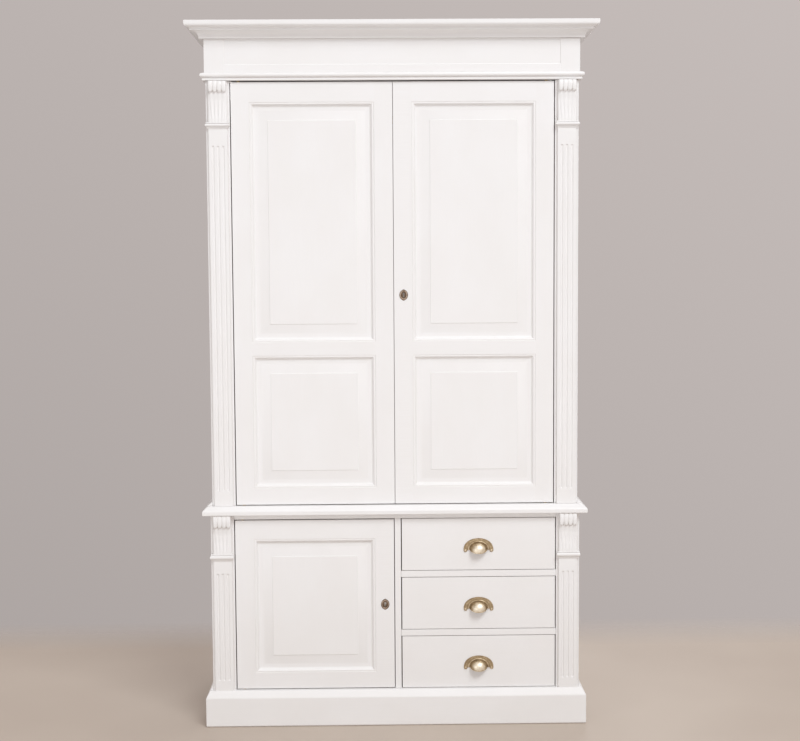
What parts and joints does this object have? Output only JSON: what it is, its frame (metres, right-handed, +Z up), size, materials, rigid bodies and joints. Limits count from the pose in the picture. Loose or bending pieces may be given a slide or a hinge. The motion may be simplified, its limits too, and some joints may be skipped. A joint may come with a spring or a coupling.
{
  "type": "armoire",
  "caption": "Painted armoire: tall panelled double-door wardrobe over a lower case with a panelled door and drawers, fluted corner pilasters, moulded cornice and plinth.",
  "frame": {"origin": "on the floor at the middle of the object's box", "axes": "+Z up, the doors face -Y, +X to the right seen from the front"},
  "size_m": [1.264, 0.617, 2.2],
  "materials": {
    "painted_wood": "satin off-white brushed paint over joinery timber",
    "drawer_wood": "bare waxed timber",
    "hardware_brass": "worn brass",
    "pull_brass": "antiqued brass, rubbed bright on the bowl",
    "escutcheon_bronze": "dark aged bronze",
    "lock_steel": "plain steel"
  },
  "bodies": {
    "case": {"cornice": "painted_wood", "drawer_rail_lower": "painted_wood", "drawer_rail_upper": "painted_wood", "frieze": "painted_wood", "hanging_rail": "hardware_brass", "lower_back": "painted_wood", "lower_bottom": "painted_wood", "lower_pivot_bottom": "hardware_brass", "lower_pivot_top": "hardware_brass", "lower_post_left": "painted_wood", "lower_post_right": "painted_wood", "lower_side_left": "painted_wood", "lower_side_right": "painted_wood", "lower_top_rail": "painted_wood", "partition": "painted_wood", "plinth": "painted_wood", "upper_back": "painted_wood", "upper_left_pivot_bottom": "hardware_brass", "upper_left_pivot_top": "hardware_brass", "upper_post_left": "painted_wood", "upper_post_right": "painted_wood", "upper_right_pivot_bottom": "hardware_brass", "upper_right_pivot_top": "hardware_brass", "upper_side_left": "painted_wood", "upper_side_right": "painted_wood", "waist_board": "painted_wood"},
    "upper_door_left": {"upper_left_panel_lower": "painted_wood", "upper_left_panel_upper": "painted_wood", "upper_left_rail_bottom": "painted_wood", "upper_left_rail_middle": "painted_wood", "upper_left_rail_top": "painted_wood", "upper_left_stile_left": "painted_wood", "upper_left_stile_right": "painted_wood"},
    "upper_door_right": {"upper_right_panel_lower": "painted_wood", "upper_right_panel_upper": "painted_wood", "upper_right_rail_bottom": "painted_wood", "upper_right_rail_middle": "painted_wood", "upper_right_rail_top": "painted_wood", "upper_right_stile_left": "painted_wood", "upper_right_stile_right": "painted_wood", "upper_escutcheon": "escutcheon_bronze", "upper_lock_case": "lock_steel"},
    "upper_lock_bolt": {"upper_lock_bolt": "hardware_brass"},
    "lower_door": {"lower_stile_left": "painted_wood", "lower_stile_right": "painted_wood", "lower_rail_top": "painted_wood", "lower_rail_bottom": "painted_wood", "lower_panel": "painted_wood", "lower_escutcheon": "escutcheon_bronze", "lower_lock_case": "lock_steel"},
    "lower_lock_bolt": {"lower_lock_bolt": "hardware_brass"},
    "drawer_top": {"drawer_top_front": "painted_wood", "drawer_top_box": "drawer_wood", "drawer_top_pull": "pull_brass"},
    "drawer_middle": {"drawer_middle_front": "painted_wood", "drawer_middle_box": "drawer_wood", "drawer_middle_pull": "pull_brass"},
    "drawer_bottom": {"drawer_bottom_front": "painted_wood", "drawer_bottom_box": "drawer_wood", "drawer_bottom_pull": "pull_brass"}
  },
  "joints": [
    {"name": "upper_left_hinge", "type": "hinge", "parent": "case", "child": "upper_door_left", "pos_m": [-0.475, -0.2405, 0.7069], "axis": [0, 0, -1], "range_deg": [0, 120]},
    {"name": "upper_right_hinge", "type": "hinge", "parent": "case", "child": "upper_door_right", "pos_m": [0.475, -0.2405, 0.7069], "axis": [0, 0, 1], "range_deg": [0, 120]},
    {"name": "lower_hinge", "type": "hinge", "parent": "case", "child": "lower_door", "pos_m": [-0.481, -0.2465, 0.1176], "axis": [0, 0, -1], "range_deg": [0, 120]},
    {"name": "drawer_top_slide", "type": "slide", "parent": "case", "child": "drawer_top", "axis": [0, -1, 0], "range_m": [0, 0.36]},
    {"name": "drawer_middle_slide", "type": "slide", "parent": "case", "child": "drawer_middle", "axis": [0, -1, 0], "range_m": [0, 0.36]},
    {"name": "drawer_bottom_slide", "type": "slide", "parent": "case", "child": "drawer_bottom", "axis": [0, -1, 0], "range_m": [0, 0.36]},
    {"name": "upper_lock_slide", "type": "slide", "parent": "upper_door_right", "child": "upper_lock_bolt", "axis": [-1, 0, 0], "range_m": [0, 0.01]},
    {"name": "lower_lock_slide", "type": "slide", "parent": "lower_door", "child": "lower_lock_bolt", "axis": [1, 0, 0], "range_m": [0, 0.01]}
  ]
}
